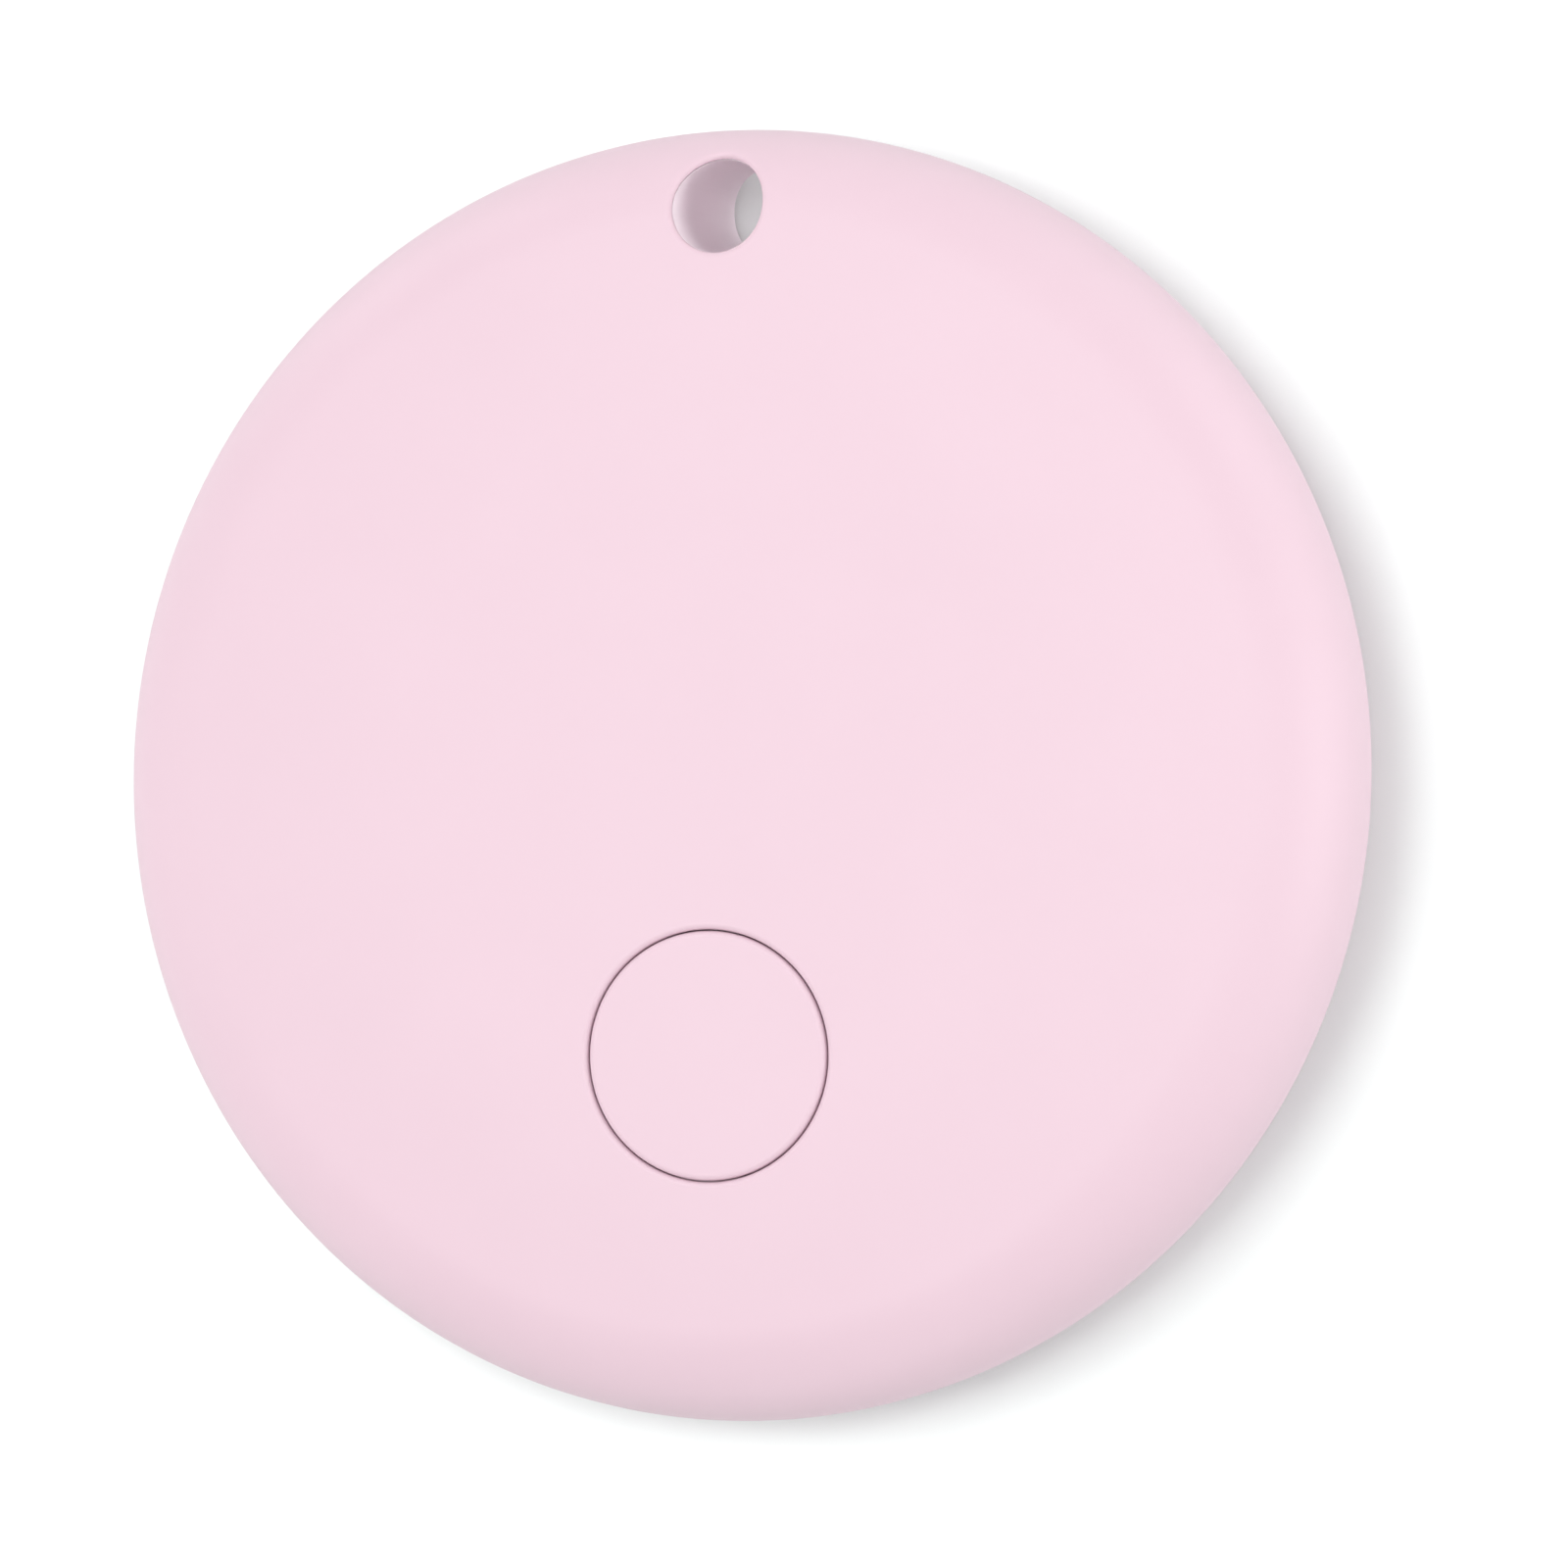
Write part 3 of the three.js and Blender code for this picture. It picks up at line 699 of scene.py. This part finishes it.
def cavity_tool():
    """The room inside the front cover, with the screw posts and the strap hole's boss left standing."""
    profile = [(0, FRONT_SEAM_Z - PAST), (CAVITY_RADIUS, FRONT_SEAM_Z - PAST)]
    for angle in np.linspace(0, math.pi / 2, 9):
        profile.append((CAVITY_RADIUS - CAVITY_CORNER * (1 - math.cos(angle)),
                        ROOF_Z - CAVITY_CORNER * (1 - math.sin(angle))))
    profile.append((0, ROOF_Z))
    posts = []
    for number in (1, 2, 3):
        centre = middle(f"frame_screw_{number}")
        post = disc(POST_RADIUS, POST_FOOT_Z, ABOVE, centre, COUNT_POST)
        shoulder = disc(POST_SHOULDER_RADIUS, POST_SHOULDER_Z, ABOVE, centre, COUNT_POST)
        pilot = disc(PILOT_RADIUS, POST_FOOT_Z - PILOT_LEAD, PILOT_TOP_Z, centre, COUNT_PILOT)
        posts += [("DIFFERENCE", post), ("DIFFERENCE", shoulder), ("UNION", pilot)]
    boss = ("DIFFERENCE", disc(BOSS_RADIUS, 0, ABOVE, STRAP_CENTRE))
    return combined(lathe(profile, COUNT_INSIDE), [boss, *posts])


def sleeve_blank(radius, inset):
    """An upright disc whose ends lie an inset inside the front and the back of the case."""
    spokes = on_circle(COUNT_HOLE)
    skin = Skin()
    ends = []
    for face in (BACK, FRONT):
        loops = []
        for share in (0.25, 0.5, 0.75, 1):
            flat = np.array(STRAP_CENTRE) + spokes * radius * share
            height, _ = face.inside(np.hypot(*flat.T), inset)
            loops.append(skin.loop(lifted(flat, face.z(height)), lifted(spokes * 0, face.side)))
        hub_height, _ = face.inside(np.hypot(*STRAP_CENTRE), inset)
        hub = skin.loop([(*STRAP_CENTRE, face.z(hub_height))], [(0, 0, face.side)])[0]
        for i in range(COUNT_HOLE):
            skin.faces.append((hub, loops[0][i], loops[0][(i + 1) % COUNT_HOLE]))
        skin.bands(loops)
        ends.append(loops[-1])
    skin.band(*ends)
    return skin.mesh("tool")


def front_cover():
    skin = Skin()
    seam_loops, seam_flat = seam_edge(skin, FRONT, FRONT_SEAM_Z - EQUATOR_Z, COUNT_OUTER)
    mouth, mouth_flat = rolled_edge(
        skin, FRONT, STRAP_CENTRE, STRAP_RADIUS, FRONT_MOUTH_ROUND, -1, COUNT_HOLE)
    button, button_flat = rolled_edge(
        skin, FRONT, BUTTON_CENTRE, BUTTON_HOLE_RADIUS, BUTTON_ROUND, -1, COUNT_BUTTON)
    mouth_points = np.array([skin.points[i] for i in mouth[-1]])
    blind_hole(skin, mouth, mouth_points[:, 2] - MOUTH_WALL, 1)
    blind_hole(skin, button, (ROOF_Z + BUTTON_RECESS_Z) / 2, 1)
    fill_surface(skin, FRONT, seam_loops[0], seam_flat, [(mouth[0], mouth_flat), (button[0], button_flat)])
    skin.cap(seam_loops[-1], (0, 0, -1))
    data = combined(skin.mesh("front_cover_shell"), [
        ("DIFFERENCE", cavity_tool()),
        ("DIFFERENCE", disc(BUTTON_RECESS_RADIUS, ROOF_Z - PAST, BUTTON_RECESS_Z, BUTTON_CENTRE, COUNT_HOLE)),
        ("DIFFERENCE", sleeve_blank(SLEEVE_RADIUS + SLEEVE_SEAT_GAP, LIP)),
    ])
    set_normals(data, [skin])
    piece("front_cover_shell", data, "case", "case_plastic", MATERIALS["case_plastic"], "front_cover")


def sector(inner, outer, degrees, width, low, high):
    """A block between two radii round the door's axis, as wide as an angle."""
    sweep = np.radians(np.linspace(degrees - width / 2, degrees + width / 2, 13))
    outline = [(outer * math.cos(a), outer * math.sin(a)) for a in sweep]
    outline += [(inner * math.cos(a), inner * math.sin(a)) for a in sweep[::-1]]
    return extruded(np.array(outline) + DOOR_CENTRE, low, high)


def index_mark(radius, degrees, face_z):
    """An index mark's hollow: a shallow round dimple, at a distance and an angle from the door's axis."""
    ball = (INDEX_RADIUS ** 2 + INDEX_DEPTH ** 2) / (2 * INDEX_DEPTH)
    angle = math.radians(degrees)
    centre = DOOR_CENTRE + radius * np.array([math.cos(angle), math.sin(angle)])
    turns = np.linspace(-math.pi / 2, math.pi / 2, 49)[1:-1]
    level = face_z + INDEX_DEPTH - ball
    profile = [(ball * math.cos(t), level + ball * math.sin(t)) for t in turns]
    return lathe([(0, level - ball), *profile, (0, level + ball)], COUNT_POST, centre)


def rounded(corner, before, after, radius, steps=5):
    """Points that round off a corner of a profile between its two neighbours."""
    corner, before, after = np.array(corner), np.array(before), np.array(after)
    a = (before - corner) / np.hypot(*(before - corner))
    b = (after - corner) / np.hypot(*(after - corner))
    return [tuple(corner + radius * (a * (1 - math.sin(t)) + b * (1 - math.cos(t))))
            for t in np.linspace(0, math.pi / 2, steps + 1)]


def rear_cover():
    skin = Skin()
    seam_loops, seam_flat = seam_edge(skin, BACK, EQUATOR_Z - REAR_SEAM_Z, COUNT_OUTER)
    mouth, mouth_flat = rolled_edge(
        skin, BACK, STRAP_CENTRE, STRAP_RADIUS, BACK_MOUTH_ROUND, -1, COUNT_HOLE)
    seat, seat_flat = rolled_edge(
        skin, BACK, DOOR_CENTRE, DOOR_SEAT_RADIUS, DOOR_SEAT_ROUND, -1, COUNT_DOOR)
    mouth_points = np.array([skin.points[i] for i in mouth[-1]])
    blind_hole(skin, mouth, mouth_points[:, 2] + MOUTH_WALL, -1)
    blind_hole(skin, seat, DOOR_LEDGE_Z, -1)
    fill_surface(skin, BACK, seam_loops[0], seam_flat, [(mouth[0], mouth_flat), (seat[0], seat_flat)])
    skin.cap(seam_loops[-1], (0, 0, 1))
    room = combined(disc(TONGUE[0], FLOOR_Z, ABOVE, count=COUNT_INSIDE), [
        ("DIFFERENCE", disc(DOOR_COLLAR_RADIUS, 0, DOOR_COLLAR_Z, DOOR_CENTRE, COUNT_INSIDE)),
        ("DIFFERENCE", disc(BOSS_RADIUS, 0, REAR_SEAM_Z, STRAP_CENTRE)),
    ])
    tongue = combined(ring(*TONGUE, FLOOR_Z, TONGUE_TOP_Z, COUNT_INSIDE), [
        ("DIFFERENCE", disc(TONGUE_GAP_RADIUS, REAR_SEAM_Z, ABOVE, STRAP_CENTRE)),
    ])
    low = DOOR_LEDGE_Z / 2
    notches = [sector(DOOR_LEDGE_RADIUS - PAST, NOTCH_RADIUS, angle + DOOR_TURN, NOTCH_DEGREES, low, ABOVE)
               for angle in LUG_ANGLES]
    data = combined(skin.mesh("rear_cover_shell"), [
        ("DIFFERENCE", room),
        ("UNION", tongue),
        ("DIFFERENCE", disc(DOOR_LEDGE_RADIUS, low, ABOVE, DOOR_CENTRE, COUNT_DOOR)),
        *[("DIFFERENCE", notch) for notch in notches],
        # The first mark is the locked place. The second is a turn away, on the side the door doesn't turn to.
        ("DIFFERENCE", index_mark(INDEX_ON_COVER, INDEX_ANGLE, 0)),
        ("DIFFERENCE", index_mark(INDEX_ON_COVER, INDEX_ANGLE - DOOR_TURN, 0)),
        ("DIFFERENCE", sleeve_blank(SLEEVE_RADIUS + SLEEVE_SEAT_GAP, LIP)),
    ])
    set_normals(data, [skin])
    piece("rear_cover_shell", data, "case", "case_plastic", MATERIALS["case_plastic"], "rear_cover")


def strap_hole_sleeve():
    data = combined(sleeve_blank(SLEEVE_RADIUS, LIP + SLEEVE_END_GAP), [
        ("DIFFERENCE", disc(STRAP_RADIUS, -PAST, ABOVE, STRAP_CENTRE, COUNT_HOLE)),
    ])
    set_normals(data, [])
    # The liner takes the paler pink, which is painted light that brightens the strap hole's wall.
    piece("strap_hole_liner", data, "case", "case_plastic", MATERIALS["sleeve_painted_light"], "strap_hole_sleeve")


def button_cap():
    skin = Skin()
    edge, edge_flat = rolled_edge(
        skin, FRONT, BUTTON_CENTRE, BUTTON_CAP_RADIUS, BUTTON_ROUND, 1, COUNT_BUTTON)
    spokes = lifted(on_circle(COUNT_BUTTON), 0)
    side = wall_to(skin, edge[-1], FLANGE_Z[1], spokes)
    centre = edge_flat.mean(axis=0)
    reach = BUTTON_CAP_RADIUS - BUTTON_ROUND
    inner = [np.array([centre])]
    for share, count in ((0.2, 12), (0.4, 24), (0.6, 40), (0.8, 64), (0.93, 90)):
        inner.append(centre + on_circle(count, share * reach))
    places = np.concatenate(inner)
    points, normals = FRONT.place(places)
    indices = list(edge[0]) + skin.loop(points, normals)
    flats = np.concatenate([edge_flat, places])
    for corners in cdt_faces(flats, [list(range(COUNT_BUTTON))]):
        skin.faces.append(tuple(indices[i] for i in corners))
    skin.cap(side, (0, 0, -1))
    low, high = FLANGE_Z
    hub_top = high + BITE
    flange = lathe([
        (0, low), (FLANGE_RADIUS - FLANGE_BEVEL, low), (FLANGE_RADIUS, low + FLANGE_BEVEL),
        (FLANGE_RADIUS, high), (FLANGE_HUB_RADIUS, high), (FLANGE_HUB_RADIUS, hub_top), (0, hub_top),
    ], COUNT_HOLE, BUTTON_CENTRE)
    stem = disc(STEM_RADIUS, CAP_LOW[2], low + BITE, BUTTON_CENTRE, COUNT_POST)
    data = combined(skin.mesh("button_cap_face"), [("UNION", flange), ("UNION", stem)])
    set_normals(data, [skin])
    piece("button_cap_face", data, "button", "case_plastic", MATERIALS["case_plastic"], "button_cap")


def coin_slot():
    """The slot's hollow, whose mouth flares out into the door's face."""
    length, width, depth = COIN_SLOT
    mouth, foot = COIN_SLOT_MOUTH_ROUND, COIN_SLOT_FLOOR_ROUND
    half, radius = (length - width) / 2, width / 2
    sliver = 0.001
    steps = [(mouth + sliver, DOOR_FACE_Z - PAST), (mouth + sliver, DOOR_FACE_Z - sliver)]
    for turn in np.linspace(0, math.pi / 2, 7)[1:]:
        steps.append((mouth * (1 - math.sin(turn)), DOOR_FACE_Z + mouth * (1 - math.cos(turn))))
    for turn in np.linspace(0, math.pi / 2, 5):
        steps.append((-foot * (1 - math.cos(turn)), DOOR_FACE_Z + depth - foot * (1 - math.sin(turn))))
    skin = Skin()
    loops = []
    turns = np.linspace(-math.pi / 2, math.pi / 2, 17)
    for grow, level in steps:
        right = [(half + (radius + grow) * math.cos(t), (radius + grow) * math.sin(t)) for t in turns]
        outline = np.array(right + [(-x, -y) for x, y in right]) + DOOR_CENTRE
        loops.append(skin.loop(lifted(outline, level), lifted(outline * 0, 1)))
    skin.bands(loops)
    skin.cap(loops[0], (0, 0, -1))
    skin.cap(loops[-1], (0, 0, 1))
    return skin.mesh("tool")


def battery_door():
    inner, outer = DOOR_WALL
    low, high = SEAL_GROOVE_Z
    top = DOOR_WALL_TOP_Z
    profile = [(0, DOOR_FACE_Z)]
    profile += rounded((DOOR_RADIUS, DOOR_FACE_Z), (0, DOOR_FACE_Z), (DOOR_RADIUS, 1), DOOR_FACE_ROUND)
    profile += [(DOOR_RADIUS, DOOR_FLANGE_TOP_Z), (outer, DOOR_FLANGE_TOP_Z), (outer, low)]
    profile += [(SEAL_GROOVE_RADIUS, low), (SEAL_GROOVE_RADIUS, high), (outer, high)]
    profile += rounded((outer, top), (outer, low), (inner, top), DOOR_WALL_ROUND)
    profile += rounded((inner, top), (outer, top), (inner, low), DOOR_WALL_ROUND)
    profile += [(inner, DOOR_PLATE_TOP_Z), (0, DOOR_PLATE_TOP_Z)]
    lugs = [sector(outer - LUG_ROOT, LUG_RADIUS, angle, LUG_DEGREES, *LUG_Z) for angle in LUG_ANGLES]
    data = combined(lathe(profile, COUNT_DOOR, DOOR_CENTRE), [
        *[("UNION", lug) for lug in lugs],
        ("DIFFERENCE", coin_slot()),
        ("DIFFERENCE", index_mark(INDEX_ON_DOOR, INDEX_ANGLE, DOOR_FACE_Z)),
    ])
    set_normals(data, [])
    piece("battery_door_plate", data, "door", "case_plastic", MATERIALS["case_plastic"], "battery_door")


front_cover()
rear_cover()
strap_hole_sleeve()
button_cap()
battery_door()

for subpart in frame["record"]["subparts"]:
    node = frame["nodes"][subpart["node"]]
    node.data.materials.clear()
    node.data.materials.append(MATERIALS[subpart["material_slot"]])


# ---- Floor, light and camera ---------------------------------------------------------------------------

def floor():
    data = bpy.data.meshes.new("floor")
    half = 1.2
    corners = [(-half, -half, 0), (half, -half, 0), (half, half, 0), (-half, half, 0)]
    data.from_pydata(corners, [], [(0, 1, 2, 3)])
    obj = bpy.data.objects.new("floor", data)
    bpy.context.scene.collection.objects.link(obj)
    shader = Shader("floor")
    shader.colour(shader.mixed(shader.noise(30.0), (0.84, 0.885, 0.87), (0.86, 0.905, 0.89)))
    shader.roughness(shader.between(shader.noise(3.0), 0.85, 0.95))
    shader.surface.inputs["Specular IOR Level"].default_value = 0.0
    data.materials.append(shader.material)


def softbox(name, azimuth, elevation, size, power):
    """A square softbox a metre away that faces the tag. Azimuth 0 is towards +Y and 90 towards +X."""
    light = bpy.data.lights.new(name, "AREA")
    light.shape = "SQUARE"
    light.size = size
    light.energy = power
    obj = bpy.data.objects.new(name, light)
    bpy.context.scene.collection.objects.link(obj)
    a, e = math.radians(azimuth), math.radians(elevation)
    away = Vector((math.sin(a) * math.cos(e), math.cos(a) * math.cos(e), math.sin(e)))
    obj.location = away
    obj.rotation_mode = "QUATERNION"
    obj.rotation_quaternion = away.to_track_quat("Z", "Y")


def backdrop():
    """A white surround that the camera sees past the floor. It gives no light of its own."""
    world = bpy.data.worlds.new("studio")
    world.use_nodes = True
    background = world.node_tree.nodes["Background"]
    background.inputs["Color"].default_value = (1, 1, 1, 1)
    background.inputs["Strength"].default_value = 1.0
    world.cycles_visibility.diffuse = False
    world.cycles_visibility.glossy = False
    bpy.context.scene.world = world


# A large key light hangs above and to the upper left, and a smaller one on the camera's side lights the strap
# hole's wall. Low strips round off the edge. The side towards -Y gets least, so the case darkens that way.
# Each has a name, an azimuth and an elevation in degrees, a size in metres and a power in watts.
SOFTBOXES = [
    ("key", 315, 78, 0.6, 6.35),
    ("camera_side", 90, 67, 0.4, 2.4),
    ("front_strip", 180, 12, 0.35, 1.3),
    ("front_left_strip", 225, 12, 0.35, 0.5),
    ("key_fill", 225, 78, 0.6, 0.8),
    ("left", 270, 32, 0.5, 2.9),
    ("left_front", 225, 32, 0.5, 0.9),
    ("upper_left_strip", 315, 12, 0.35, 2.4),
    ("upper_right_strip", 45, 12, 0.35, 2.5),
    ("right_strip", 90, 12, 0.35, 3.6),
    ("right", 90, 32, 0.5, 0.7),
    ("right_front", 135, 32, 0.5, 1.0),
]


# How the tag is seen: the camera leans from straight above it towards +X and a little towards -Y.
LEAN_X = math.radians(18.13)
LEAN_Y = math.radians(2.23)
ROLL = math.radians(0.114)
CAMERA_DISTANCE = 528.0
SPAN = 46.131            # what the picture's width takes in at the tag, in millimetres
AIM = (1.096, 0.274)     # what the picture's middle looks at, from the tag's middle, right and down
SENSOR = 36.0


def camera():
    back = Vector((math.tan(LEAN_X), -math.tan(LEAN_Y), 1)).normalized()
    right = Vector((0, 1, 0)).cross(back).normalized()
    up = back.cross(right)
    turned_right = right * math.cos(ROLL) + up * math.sin(ROLL)
    turned_up = up * math.cos(ROLL) - right * math.sin(ROLL)
    target = Vector((0, 0, EQUATOR_Z)) + turned_right * AIM[0] - turned_up * AIM[1]
    data = bpy.data.cameras.new("camera")
    data.sensor_width = SENSOR
    data.lens = SENSOR * CAMERA_DISTANCE / SPAN
    data.clip_start, data.clip_end = 0.01, 10
    obj = bpy.data.objects.new("camera", data)
    bpy.context.scene.collection.objects.link(obj)
    turn = Matrix((turned_right, turned_up, back)).transposed()
    obj.matrix_world = Matrix.Translation((target + back * CAMERA_DISTANCE) * MM) @ turn.to_4x4()
    bpy.context.scene.camera = obj


floor()
camera()
backdrop()
for softbox_settings in SOFTBOXES:
    softbox(*softbox_settings)
bpy.context.scene.view_settings.view_transform = "Standard"
